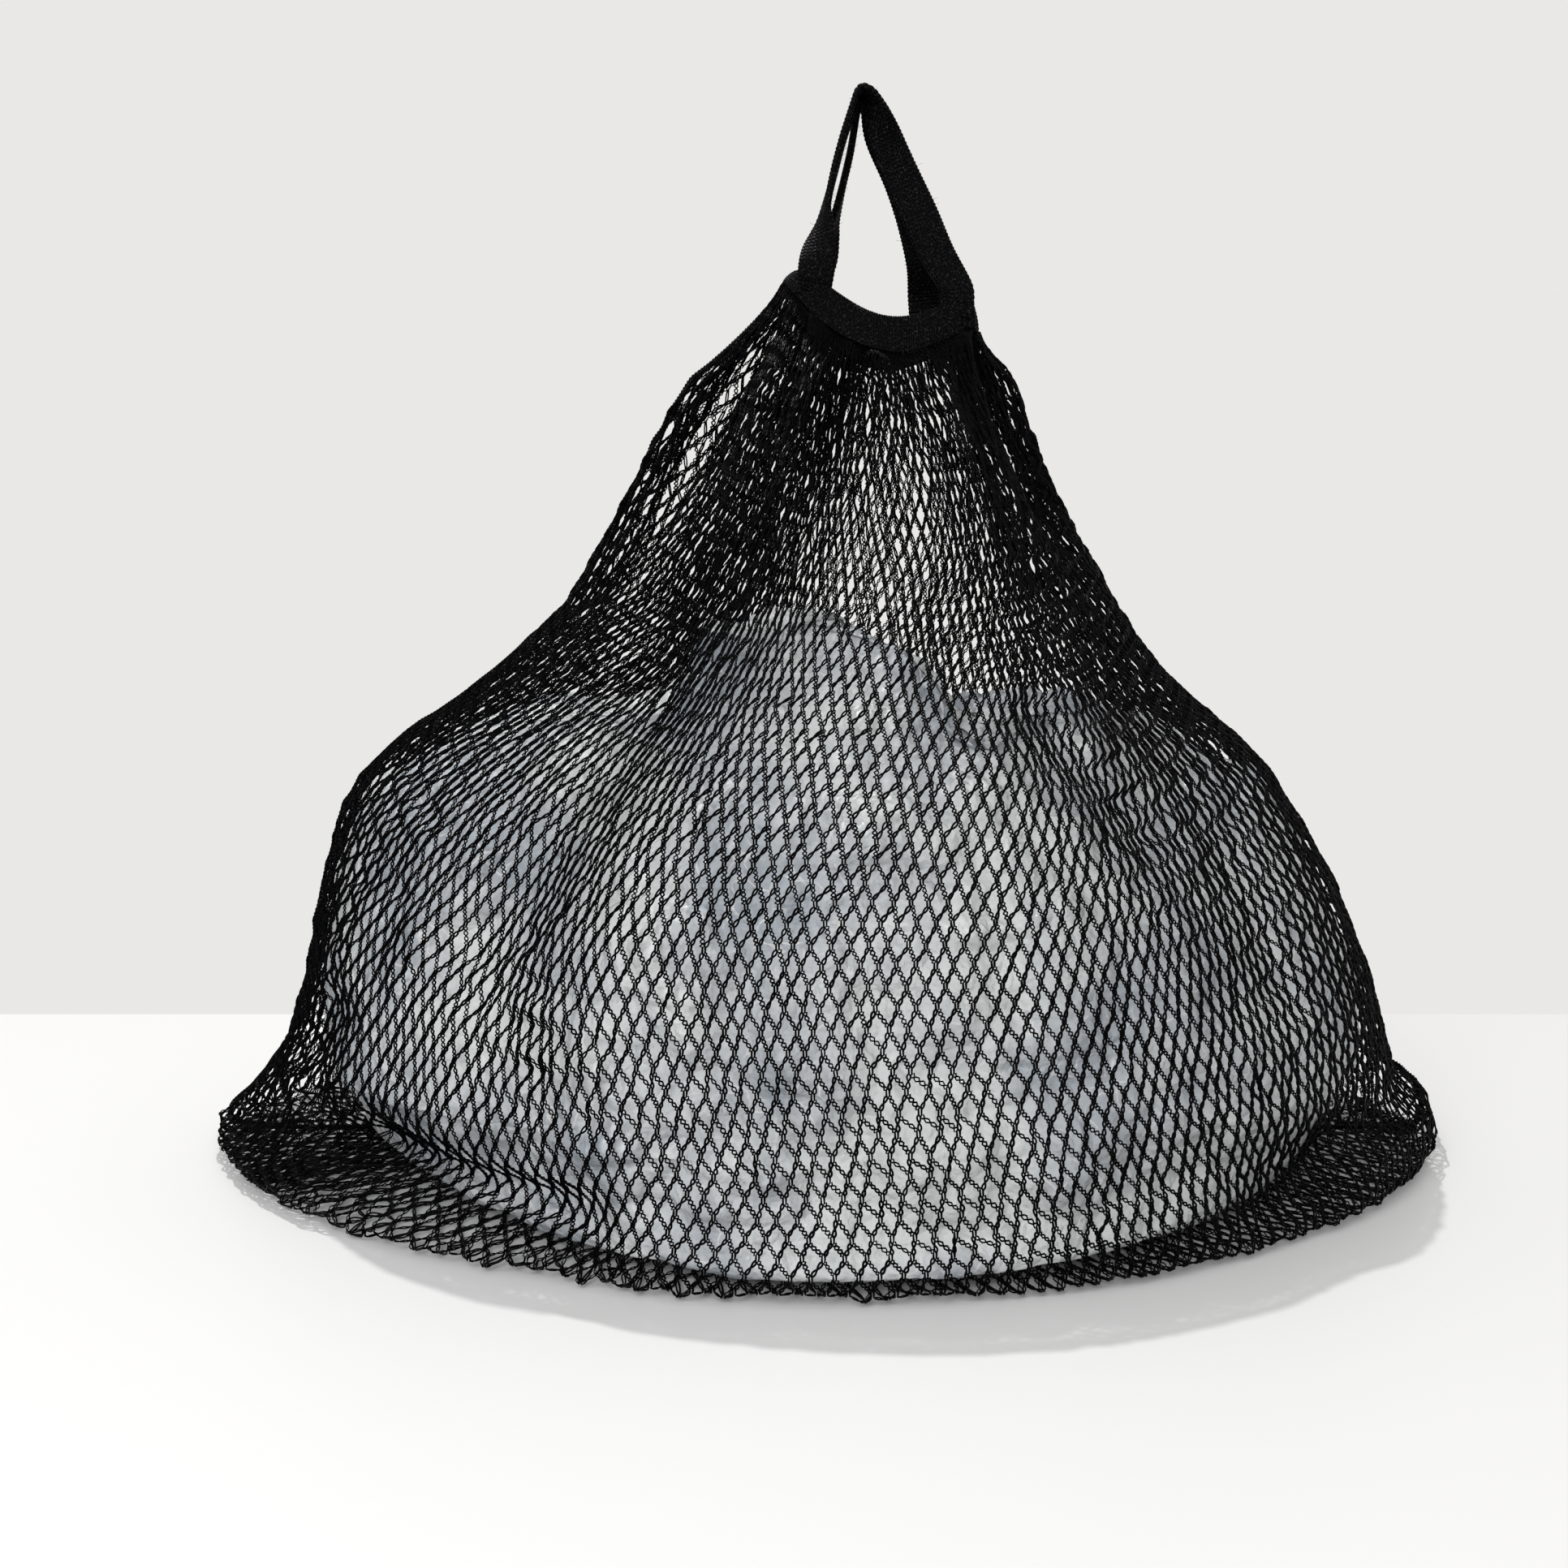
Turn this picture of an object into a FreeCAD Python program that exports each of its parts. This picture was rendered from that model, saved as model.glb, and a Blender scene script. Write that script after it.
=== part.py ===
import FreeCAD, Part
import math
import os

# Net laundry bag: a string bag of knotted diamond mesh with a knitted band
# round its mouth and two short tape handles, standing on its flat base with
# its two lower corners spread out as ears.  Millimetres.
# +X runs from the left ear to the right ear, -Y is the front, +Z is up.
# The origin is on the ground, midway between the ear tips.

# ---- driving dimensions -------------------------------------------------
ear_half_span = 240.0       # middle plane to either ear tip
base_half_depth = 166.0     # middle of the base to its front or back edge
net_wall = 3.0              # the net and its knots stand for a wall this thick
seam_width = 3.6            # overlocked side and bottom seams
seam_proud = 0.8

mouth_centre_x = 21.0
mouth_centre_z = 323.5      # rim height above the mouth's centre
mouth_half_width = 36.0
mouth_half_depth = 20.0
mouth_slope = -0.214        # the rim drops towards +X
band_height = 15.0
band_thickness = 2.6
band_flare = 3.0            # the band is this much wider at its lower edge

tape_width = 13.0
tape_thickness = 2.4
strap_end_top = 1.5         # sewn strap ends run between these distances below the rim
strap_end_foot = 13.0
strap_end_thickness = 1.6
hinge_gap = 2.6             # rim to the line that the handle bends on
rolled_end_radius = 1.4     # the tape's folded end, a little thicker than the tape
handle_base_left_x = -4.0
front_base_right_x = 49.0
back_base_right_x = 38.0
handle_base_y = 15.5
handle_top_z = 402.0

film_gap = 2.5              # clear film inside the net
film_thickness = 0.8
film_floor_z = 5.0
film_top_z = 214.0

stitch_radius = 0.5

# Body outline, one row per level: height, left edge, right edge, half depth,
# slope of the level along X, and how pointed its ends are (1 = ellipse).
body_levels = [
    (0.0, -234.0, 236.0, 158.0, 0.0, 1.25),
    (7.0, -ear_half_span, ear_half_span, base_half_depth, 0.0, 1.25),
    (20.0, -226.0, 234.0, 165.0, 0.0, 1.15),
    (43.0, -209.0, 222.0, 163.0, 0.0, 1.05),
    (70.0, -199.0, 212.0, 158.0, 0.0, 0.98),
    (108.0, -191.0, 190.0, 148.0, 0.0, 0.95),
    (147.0, -173.0, 168.0, 130.0, 0.0, 0.95),
    (172.0, -143.0, 142.0, 110.0, 0.0, 0.95),
    (198.0, -112.0, 118.0, 90.0, 0.0, 1.0),
    (235.0, -84.0, 95.0, 66.0, 0.0, 1.0),
    (266.0, -64.0, 79.0, 47.0, -0.03, 1.0),
    (290.0, -47.0, 69.0, 34.0, -0.10, 1.0),
    (307.5, -20.0, 61.5, 24.0, mouth_slope, 1.0),
]

points_per_level = 32
rows_per_span = 3


def rim_z(x):
    return mouth_centre_z + mouth_slope * (x - mouth_centre_x)


def level_at(height):
    """Body outline at a height between the listed levels."""
    for lower, upper in zip(body_levels, body_levels[1:]):
        if lower[0] <= height <= upper[0]:
            share = (height - lower[0]) / (upper[0] - lower[0])
            return tuple(a + share * (b - a) for a, b in zip(lower, upper))
    return body_levels[-1]


def level_wire(level, inset, height=None):
    """Closed smooth outline of one level, moved inwards by inset."""
    z, left, right, half_depth, slope, pointed = level
    if height is not None:
        z = height
    centre_x = (left + right) / 2.0
    half_width = (right - left) / 2.0 - inset
    depth = half_depth - inset
    points = []
    for index in range(points_per_level):
        angle = 2.0 * math.pi * index / points_per_level
        side = math.copysign(abs(math.sin(angle)) ** pointed, math.sin(angle))
        x = centre_x + half_width * math.cos(angle)
        y = depth * side
        points.append(FreeCAD.Vector(x, y, z + slope * (x - centre_x)))
    curve = Part.BSplineCurve()
    curve.interpolate(Points=points, PeriodicFlag=True)
    return Part.Wire([curve.toShape()])


def loft(wires):
    solid = Part.makeLoft(wires, True, False)
    if solid.Volume < 0:
        solid.reverse()
    return solid


def body_solid(inset, floor_z, top_z):
    """Solid filling the bag's outline, inset all round, between two heights."""
    wires = [level_wire(level_at(floor_z), inset, floor_z)]
    for level in body_levels:
        if floor_z + 1.0 < level[0] < top_z - 1.0:
            wires.append(level_wire(level, inset))
    if top_z >= body_levels[-1][0]:
        last = body_levels[-1]
        wires.append(level_wire(last, inset, top_z))
    else:
        wires.append(level_wire(level_at(top_z), inset, top_z))
    return loft(wires)


def slab(y_low, y_high, x_low=-400.0, x_high=400.0, z_low=-50.0, z_high=500.0):
    corner = FreeCAD.Vector(x_low, y_low, z_low)
    return Part.makeBox(x_high - x_low, y_high - y_low, z_high - z_low, corner)


def one_solid(shape):
    """The single solid of a boolean result, slivers dropped."""
    return max(shape.Solids, key=lambda solid: solid.Volume)


# ---- net, seams -----------------------------------------------------------
def net_and_seams():
    top_z = body_levels[-1][0]
    outer = body_solid(0.0, 0.0, top_z)
    inner = body_solid(net_wall, net_wall, top_z)
    lid = level_wire(body_levels[-1], net_wall, top_z - 0.2)
    lid_top = level_wire(body_levels[-1], net_wall, top_z + 6.0)
    inner = inner.fuse(loft([lid, lid_top]))
    shell = outer.cut(inner)
    half_seam = seam_width / 2.0
    front = one_solid(shell.common(slab(-300.0, -half_seam)))
    back = one_solid(shell.common(slab(half_seam, 300.0)))

    proud = body_solid(-seam_proud, 0.0, top_z).cut(inner)
    strip = proud.common(slab(-half_seam, half_seam))
    limit_z = net_wall
    left = one_solid(strip.common(slab(-300.0, 300.0, -400.0, 0.0, limit_z, 500.0)))
    right = one_solid(strip.common(slab(-300.0, 300.0, 0.0, 400.0, limit_z, 500.0)))
    bottom = one_solid(strip.common(slab(-300.0, 300.0, -400.0, 400.0, -50.0, limit_z)))
    return front, back, left, right, bottom


# ---- mouth band -----------------------------------------------------------
def mouth_wire(drop, inset):
    """Outline of the band at a distance below the rim."""
    widen = band_flare * drop / band_height
    centre_z = mouth_centre_z - drop
    left = mouth_centre_x - mouth_half_width - widen
    right = mouth_centre_x + mouth_half_width + widen
    depth = mouth_half_depth + widen
    return level_wire((centre_z, left, right, depth, mouth_slope, 1.0), inset)


def mouth_ring(low_drop, high_drop, outer_inset, inner_inset):
    outer = loft([mouth_wire(low_drop, outer_inset), mouth_wire(high_drop, outer_inset)])
    inner = loft([mouth_wire(low_drop + 1.0, inner_inset), mouth_wire(high_drop - 1.0, inner_inset)])
    return outer.cut(inner)


def mouth_band():
    ring = mouth_ring(band_height, 0.0, 0.0, band_thickness)
    half_seam = seam_width / 2.0
    front = one_solid(ring.common(slab(-300.0, -half_seam)))
    back = one_solid(ring.common(slab(half_seam, 300.0)))
    strip = ring.common(slab(-half_seam, half_seam))
    left = one_solid(strip.common(slab(-300.0, 300.0, -400.0, mouth_centre_x)))
    right = one_solid(strip.common(slab(-300.0, 300.0, mouth_centre_x, 400.0)))
    return front, back, left, right


# ---- handles --------------------------------------------------------------
def hinge_z(x):
    return rim_z(x) + hinge_gap


def base_right_x(front):
    return front_base_right_x if front else back_base_right_x


def strap_end(x, front):
    """Sewn end of a handle tape on the outside of the mouth band."""
    skirt = mouth_ring(strap_end_foot, strap_end_top, -strap_end_thickness, 0.0)
    y_low, y_high = (-60.0, 0.0) if front else (0.0, 60.0)
    half = tape_width / 2.0
    return one_solid(skirt.common(slab(y_low, y_high, x - half, x + half)))


def strap_stitching():
    """Box-tack stitches that hold the four strap ends, as short thread bars."""
    bars = []
    stitch_rows = (3.5, 9.5)
    for front in (True, False):
        sign = -1.0 if front else 1.0
        for x in (handle_base_left_x, base_right_x(front)):
            for drop in stitch_rows:
                widen = band_flare * drop / band_height
                share = (x - mouth_centre_x) / (mouth_half_width + widen + strap_end_thickness)
                depth = mouth_half_depth + widen + strap_end_thickness
                y = sign * depth * math.sqrt(1.0 - share * share)
                slope_y = -sign * depth * share / math.sqrt(1.0 - share * share)
                slope_y = slope_y / (mouth_half_width + widen + strap_end_thickness)
                along = FreeCAD.Vector(1.0, slope_y, mouth_slope)
                along.normalize()
                middle = FreeCAD.Vector(x, y + sign * 0.3, rim_z(x) - drop)
                start = middle - along * 3.0
                bars.append(Part.makeCylinder(stitch_radius, 6.0, start, along))
    return Part.makeCompound(bars)


def finer_rows(centres, widths):
    """More rows along a smooth curve through the listed ones."""
    fine_centres = []
    fine_widths = []
    last = len(centres) - 1
    for index in range(last):
        before = centres[max(index - 1, 0)]
        start = centres[index]
        end = centres[index + 1]
        after = centres[min(index + 2, last)]
        for step in range(rows_per_span):
            share = step / rows_per_span
            leave = (end - before) * 0.5
            arrive = (after - start) * 0.5
            point = start * (2.0 * share ** 3 - 3.0 * share ** 2 + 1.0)
            point = point + leave * (share ** 3 - 2.0 * share ** 2 + share)
            point = point + end * (3.0 * share ** 2 - 2.0 * share ** 3)
            point = point + arrive * (share ** 3 - share ** 2)
            fine_centres.append(point)
            fine_widths.append(widths[index] * (1.0 - share) + widths[index + 1] * share)
    fine_centres.append(centres[last])
    fine_widths.append(widths[last])
    return fine_centres, fine_widths


def handle_sections(front):
    """Centre, width direction and tape normal along one handle, left to right.

    The tape starts flat on the band at both ends, stands edge-on up the left
    leg and over the top, and turns face-on again down the right leg.
    """
    sign = -1.0 if front else 1.0
    shift = 0.0 if front else 4.2       # the back handle's left leg lies inside
    left_z = hinge_z(handle_base_left_x)
    right_x = base_right_x(front)
    right_z = hinge_z(right_x)
    apex_z = handle_top_z - 0.5 * tape_thickness - 0.2
    along = (1.0, 0.0, mouth_slope)
    edge_on = (0.0, sign, 0.0)
    # x, distance from the bag's middle plane, z, width direction
    rows = [
        (handle_base_left_x, handle_base_y, left_z, along),
        (handle_base_left_x + 0.1, handle_base_y - 0.5, left_z + 5.0, along),
        (-2.9 + 0.5 * shift, 12.6, 343.5, (0.85, 0.5 * sign, -0.1)),
        (-1.8 + 0.8 * shift, 10.4, 349.0, (0.45, 0.85 * sign, 0.0)),
        (-0.7 + shift, 8.8, 355.0, (0.08, sign, 0.0)),
        (2.4 + shift, 8.0, 367.0, edge_on),
        (6.0 + shift, 7.6, 379.0, edge_on),
        (9.6 + 0.5 * shift, 7.4, 389.5, edge_on),
        (11.4 + 0.2 * shift, 7.4, apex_z - 4.6, edge_on),
        (12.9 + 0.05 * shift, 7.4, apex_z - 1.3, edge_on),
        (15.6, 7.2, apex_z, edge_on),
        (18.2, 7.4, apex_z - 1.4, (0.1, sign, 0.0)),
        (19.4, 7.2, apex_z - 4.8, (0.25, 0.95 * sign, 0.1)),
        (20.6, 6.5, 389.0, (0.7, 0.6 * sign, 0.25)),
        (23.4, 4.0, 379.5, (0.92, 0.1 * sign, 0.37)),
        (28.7, 3.2, 367.0, (0.92, 0.0, 0.39)),
    ]
    if front:
        rows += [
            (34.9, 5.0, 354.0, (0.91, 0.0, 0.40)),
            (41.4, 8.6, 339.0, (0.93, 0.0, 0.30)),
        ]
    else:
        rows += [
            (33.2, 5.0, 354.0, (0.95, 0.0, 0.30)),
            (36.5, 8.6, 339.0, (0.99, 0.0, 0.05)),
        ]
    rows += [
        (right_x - 0.9, handle_base_y - 1.2, right_z + 6.0, along),
        (right_x, handle_base_y, right_z, along),
    ]
    listed = [FreeCAD.Vector(x, sign * off, z) for x, off, z, _ in rows]
    centres, widths = finer_rows(listed, [FreeCAD.Vector(*row[3]) for row in rows])
    sections = []
    for index, width in enumerate(widths):
        before = centres[max(index - 1, 0)]
        after = centres[min(index + 1, len(centres) - 1)]
        tangent = after - before
        width = width - tangent * (width.dot(tangent) / tangent.dot(tangent))
        width.normalize()
        normal = tangent.cross(width)
        normal.normalize()
        sections.append((centres[index], width, normal))
    return sections


def flat_face(*corners):
    return Part.Face(Part.makePolygon(list(corners) + [corners[0]]))


def skin_solid(sections):
    """Solid through four-cornered sections, its sides made of flat triangles.

    A twisted side is folded along the diagonal that keeps the solid thickest.
    """
    faces = [flat_face(*sections[0]), flat_face(*reversed(sections[-1]))]
    for lower, upper in zip(sections, sections[1:]):
        middle = (lower[0] + lower[2] + upper[0] + upper[2]) * 0.25
        for index in range(4):
            after = (index + 1) % 4
            first = (lower[index] + upper[after]) * 0.5
            second = (lower[after] + upper[index]) * 0.5
            if (first - middle).Length >= (second - middle).Length:
                faces.append(flat_face(lower[index], lower[after], upper[after]))
                faces.append(flat_face(lower[index], upper[after], upper[index]))
            else:
                faces.append(flat_face(lower[index], lower[after], upper[index]))
                faces.append(flat_face(lower[after], upper[after], upper[index]))
    solid = Part.makeSolid(Part.makeShell(faces))
    if solid.Volume < 0:
        solid.reverse()
    return solid


def handle(front):
    corner_rows = []
    previous = None
    for centre, width, normal in handle_sections(front):
        if previous is not None and width.dot(previous) < 0:
            width = width * -1.0
            normal = normal * -1.0
        previous = width
        across = width * (tape_width / 2.0)
        through = normal * (tape_thickness / 2.0)
        corners = [
            centre + across + through,
            centre - across + through,
            centre - across - through,
            centre + across - through,
        ]
        corner_rows.append(corners)
    solid = skin_solid(corner_rows)
    sign = -1.0 if front else 1.0
    along = FreeCAD.Vector(1.0, 0.0, mouth_slope)
    along.normalize()
    for x in (handle_base_left_x, base_right_x(front)):
        middle = FreeCAD.Vector(x, sign * handle_base_y, hinge_z(x))
        start = middle - along * (tape_width / 2.0 + 0.3)
        rolled_end = Part.makeCylinder(rolled_end_radius, tape_width + 0.6, start, along)
        solid = solid.fuse(rolled_end)
    return one_solid(solid)


# ---- clear film -----------------------------------------------------------
def clear_film_insert():
    """Thin clear film that fills the bag out, open at its top."""
    inset = net_wall + film_gap
    outer = body_solid(inset, film_floor_z, film_top_z)
    inner = body_solid(inset + film_thickness, film_floor_z + film_thickness, film_top_z + 4.0)
    return one_solid(outer.cut(inner))


def build():
    parts = {}
    net = net_and_seams()
    parts["front_net_panel"] = net[0]
    parts["back_net_panel"] = net[1]
    parts["left_side_seam"] = net[2]
    parts["right_side_seam"] = net[3]
    parts["bottom_seam"] = net[4]
    band = mouth_band()
    parts["front_mouth_band"] = band[0]
    parts["back_mouth_band"] = band[1]
    parts["left_band_seam"] = band[2]
    parts["right_band_seam"] = band[3]
    for side, front in (("front", True), ("back", False)):
        parts[side + "_left_strap_end"] = strap_end(handle_base_left_x, front)
        parts[side + "_right_strap_end"] = strap_end(base_right_x(front), front)
        parts[side + "_handle"] = handle(front)
    parts["strap_stitching"] = strap_stitching()
    parts["clear_film_insert"] = clear_film_insert()
    return parts


os.makedirs("parts", exist_ok=True)
for name, shape in build().items():
    shape.exportStep("parts/" + name + ".step")
    box = shape.BoundBox
    print("%-24s valid %s solids %d volume %.0f  x %.1f %.1f  y %.1f %.1f  z %.1f %.1f" % (
        name, shape.isValid(), len(shape.Solids), shape.Volume,
        box.XMin, box.XMax, box.YMin, box.YMax, box.ZMin, box.ZMax))
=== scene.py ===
import math

import bpy
import numpy as np
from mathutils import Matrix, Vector, noise


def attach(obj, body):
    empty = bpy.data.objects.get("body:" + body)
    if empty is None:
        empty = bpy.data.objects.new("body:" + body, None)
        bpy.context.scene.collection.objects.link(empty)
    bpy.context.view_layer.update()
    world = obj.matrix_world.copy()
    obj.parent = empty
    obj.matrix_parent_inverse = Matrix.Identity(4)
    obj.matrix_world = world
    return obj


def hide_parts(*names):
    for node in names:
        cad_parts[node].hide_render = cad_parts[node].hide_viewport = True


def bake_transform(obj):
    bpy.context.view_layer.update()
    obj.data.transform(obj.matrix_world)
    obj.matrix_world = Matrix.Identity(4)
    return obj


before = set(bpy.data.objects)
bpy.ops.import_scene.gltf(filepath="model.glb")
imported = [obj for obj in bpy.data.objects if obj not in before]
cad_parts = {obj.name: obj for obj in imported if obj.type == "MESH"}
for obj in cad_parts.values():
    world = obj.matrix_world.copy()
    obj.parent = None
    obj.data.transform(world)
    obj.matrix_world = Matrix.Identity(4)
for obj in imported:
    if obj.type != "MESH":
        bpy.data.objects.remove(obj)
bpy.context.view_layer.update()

# The bag is worked out in millimetres and written to meshes in metres.
MM = 0.001
BAG = "bag"

# ---- driving dimensions (mm) ----
WALES = 204               # net columns round the bag
ROWS = 69                 # half rows of the net from the mouth to the bottom seam
LEG = 8.15                # one side of a net diamond
SLACK_LEG = 7.0           # legs weakly resist being pushed shorter than this
SLACK_GIVE = 0.15         # and this much of their slack is taken out each step
EDGE_ROW = 49             # about where the net turns under the bag
STITCH_SPREAD = 0.66      # a chain's two threads part this far from its middle
STITCH_RAISE = 0.26       # and pass this far over and under each other
THREAD_RADIUS = 0.31
TIGHT_THREAD = 0.74       # thread radius where the stitches are pulled closed, as a share
BASE_THREAD = 0.85        # thread radius under the bag, as a share of that in the walls
SINGLE_SPREAD = 0.72      # legs that lean left have fewer, narrower and thicker stitches
SINGLE_THICK = 1.3
KNOT_HALF = 0.8           # two chains run side by side this far each way at a node
KNOT_SIDE = 0.45
OPEN_GAP = 5.2            # nodes at least this far apart leave the stitches fully open
LEAST_OPEN = 0.42         # how far open the most crowded stitches stay
LEG_CURVE = 0.55          # how strongly a leg leaves and meets its nodes in line with the net
NODE_STRAY = 0.35         # how far a node strays from its place, as one standard deviation

# How the net settles on the filling.
SETTLE_STEPS = 450
EVEN_OUT = 0.03           # how much of its way to an even spacing a node goes each step
STRAIGHTEN = 0.02         # how much of its way to a straight wale
SAG_STEP = 0.02           # how far a node sinks each step
DRAW_IN = 0.6             # how much of its way down to the filling
CONE_Z = 200.0            # wales above this height may pack tightly
CONE_GAP = 0.7            # least space between the wales' nodes above it
BELLY_GAP = 2.6           # and below it
APART_SHARE = 0.25        # how much of what is missing to that each node gives way
SIDE_SPREAD = 0.42        # how much the wales spread towards the side seams
SIDE_REACH = 70.0         # and how far from the seams they do so
LEAST_WEIGHT = 0.25       # least closeness of wales relative to an even layout

SEAM_RADIUS = 0.75        # from the seam's middle to its strands' middles
SEAM_STRAND_RADIUS = 0.62
SEAM_PITCH = 4.2          # length of one turn of its strands

TAPE_WIDTH = 13.0
TAPE_THICKNESS = 2.3
BAND_THICKNESS = 2.2
RIM_CENTRE_X = 21.5
RIM_HALF_WIDTH = 32.5
RIM_HALF_DEPTH = 18.0
RIM_POINTED = 0.55        # below 1 the mouth's oval is fuller at its ends
RIM_Z = 327.0             # middle of the rim, before it sags
RIM_TILT = 5.5            # how far the rim falls from its middle to its right end
RIM_SAG = 12.5            # how far it hangs down at the front and back
# Ends of the hinge lines and their slope along X; Y is negative at the front.
HINGE_LEFT = (-4.0, 15.5, 331.45)
FRONT_HINGE_RIGHT = (49.0, 15.5, 320.11)
BACK_HINGE_RIGHT = (38.0, 15.5, 322.46)
HANDLE_SLOPE = -0.214
APEX_Z = 397.4            # top of the tapes' centre lines

FLOOR_Z = 0.45            # lowest thread centres lie this far above the ground
GROUND_Z = 0.02           # no thread surface goes below this

# Levels of the filled bag: height, left edge, right edge, half depth, slope
# of the level along X, and how pointed its ends are (1 = ellipse).
LEVELS = np.array([
    (0, -233, 235, 166, 0, 1.25),
    (7, -240, 240, 170, 0, 1.25),
    (20, -226, 236, 167, 0, 1.2),
    (31, -217, 221, 165, 0, 1.1),
    (43, -209, 216, 163, 0, 1),
    (70, -199, 207, 158, 0, 0.95),
    (108, -191, 190, 148, 0, 0.95),
    (134, -183, 175.5, 137, 0, 0.95),
    (147, -175, 168, 130, 0, 0.95),
    (160, -161, 156, 121, 0, 0.95),
    (172, -142, 141, 111, 0, 0.95),
    (185, -125, 128, 101, 0, 0.97),
    (198, -111, 118, 91, 0, 1),
    (210, -98.6, 110, 82, 0, 1),
    (235, -83.5, 95, 66, 0, 1),
    (260, -68.5, 82, 51, -0.02, 1),
    (284, -52.6, 71, 37, -0.08, 1),
    (297, -42, 67, 30, -0.14, 1),
    (308, -24, 61, 23.5, -0.214, 1),
    (340, -18, 58, 22, -0.214, 1),
])

# Folds where the net is drawn in between lumps of the filling: route in X
# and Z, width, and depth. One list for the front, one for the back.
FRONT_CREASES = [
    ([(-56, 205), (-62, 165), (-68, 150), (-90, 118), (-112, 98)], 16.0, 8.0),
    ([(66, 172), (86, 150), (100, 135)], 9.0, 7.0),
    ([(104, 178), (122, 140), (136, 108), (142, 85)], 15.0, 5.0),
    ([(-172, 68), (-182, 48), (-170, 20), (-160, 5)], 8.0, 6.0),
    ([(-150, 22), (-118, 17), (-85, 12)], 14.0, 26.0),
    ([(140, 14), (165, 20)], 12.0, 14.0),
]
BACK_CREASES = [
    ([(50, 205), (62, 160), (92, 120), (110, 90)], 11.0, 10.0),
    ([(-70, 185), (-95, 150), (-115, 110)], 10.0, 8.0),
]
# Lumps of the filling: X, Z, radius, height.
FRONT_LUMPS = [(-120, 118, 60, 3.0), (20, 110, 70, 5.0), (160, 95, 40, 4.0), (60, 60, 60, 3.0)]
BACK_LUMPS = [(110, 125, 45, 6.0), (-20, 100, 70, 5.0), (-140, 100, 40, 6.0)]

# Where the wales crowd together (positive) or stand apart (negative).
FRONT_DENSE = [
    ([(-8, 305), (-12, 270), (-14, 242)], 17.0, 3.4),
    ([(-14, 242), (-26, 210), (-40, 185)], 13.0, 0.8),
    ([(20, 300), (19, 285)], 5.0, 2.0),
    ([(58, 305), (64, 270), (74, 240)], 14.0, 3.0),
    ([(74, 240), (86, 210), (92, 180)], 12.0, 1.3),
    ([(-48, 222), (-56, 205), (-62, 165), (-68, 150), (-90, 118), (-112, 98)], 7.0, 1.0),
    ([(62, 200), (66, 172), (86, 150), (100, 135)], 7.0, 0.8),
    ([(104, 178), (122, 140), (136, 108), (142, 85)], 9.0, 0.3),
    ([(-186, 105), (-182, 75), (-180, 45)], 6.0, 1.2),
    ([(-8, 312), (-33, 284), (-52, 262), (-78, 223)], 8.0, -0.75),
    ([(30, 310), (34, 270), (36, 220), (34, 150), (32, 105)], 40.0, -0.2),
]
BACK_DENSE = [
    ([(-8, 305), (-14, 270), (-18, 240), (-30, 205)], 17.0, 2.6),
    ([(58, 305), (66, 270), (76, 240), (88, 205)], 16.0, 2.6),
    ([(0, 200), (0, 100)], 60.0, -0.2),
]
# Pleats of the gathered cone: size, count round the bag, twist, phase.
PLEATS = [(1.0, 11, 0.010, 0.3), (0.8, 17, -0.008, 1.9), (0.6, 7, 0.014, 4.0), (0.5, 23, 0.004, 2.2)]
PLEAT_DEPTH = 3.8
PLEATS_START_Z = 205.0
PLEATS_FULL_Z = 295.0

WALE_WIDTH = 1.75         # of the tapes' and the band's knit
COURSE_HEIGHT = 1.55
KNIT_DEPTH = 0.6
FIBRE_COUNT = 160         # loose fibres on each handle tape
FIBRE_RADIUS = 0.045
TACK_HALF = 4.5           # half the length of a tack
TACK_SPACING = 3.4
TACK_RADIUS = 0.4

FILM_INSET = 2.5          # the film's outline lies at least this far inside the net
FILM_FOOT_Z = 4.0
FILM_LOWEST_Z = 1.6
FILM_LEFT_X = -195.0
FILM_RIGHT_X = 205.0
FILM_FOOT_LEFT_X = -182.0
FILM_FOOT_RIGHT_X = 190.0
FILM_TUCK_Z = 40.0        # below this height the film's outline draws in to its foot
# Height of the film's heaped top along X: a tall heap between two lower ones.
FILM_TOP_X = [-195, -165, -140, -112, -85, -66, -45, -25, -5, 20, 44, 60, 72, 88, 118, 140, 165, 205]
FILM_TOP_Z = [116, 154, 172, 178, 172, 176, 205, 209, 211, 200, 188, 168, 174, 178, 176, 168, 150, 116]
# Crumples of the film, from large cells to small: cell size, squeeze along
# X, Y and Z, seed, how steeply a cell rises from its border, and how far.
FILM_CRUMPLES = [
    (44.0, (1.0, 1.0, 0.62), 1.0, 16.0, 0.5),
    (17.0, (0.62, 1.0, 1.0), 5.0, 7.0, 0.6),
    (7.0, (1.0, 1.0, 1.0), 9.0, 2.2, 0.7),
]
FILM_FULL_HEIGHT = 12.5   # cells that stand this high or more reach the film's outline
# Tones of the film's random patches: the darker one is partly painted shade of folds, the paler one the
# film's own tone.
FILM_DARK = (0.52, 0.57, 0.63)
FILM_PALE = (0.95, 0.97, 0.975)

CAMERA_X = -16.0
CAMERA_DISTANCE = 632.0
CAMERA_HEIGHT = 207.0
CAMERA_PITCH = math.radians(6.16)
CAMERA_LENS = 37.27
TABLE_BACK_Y = 184.0
TABLE_REACH = 2600.0
TABLE_THICKNESS = 40.0


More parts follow.
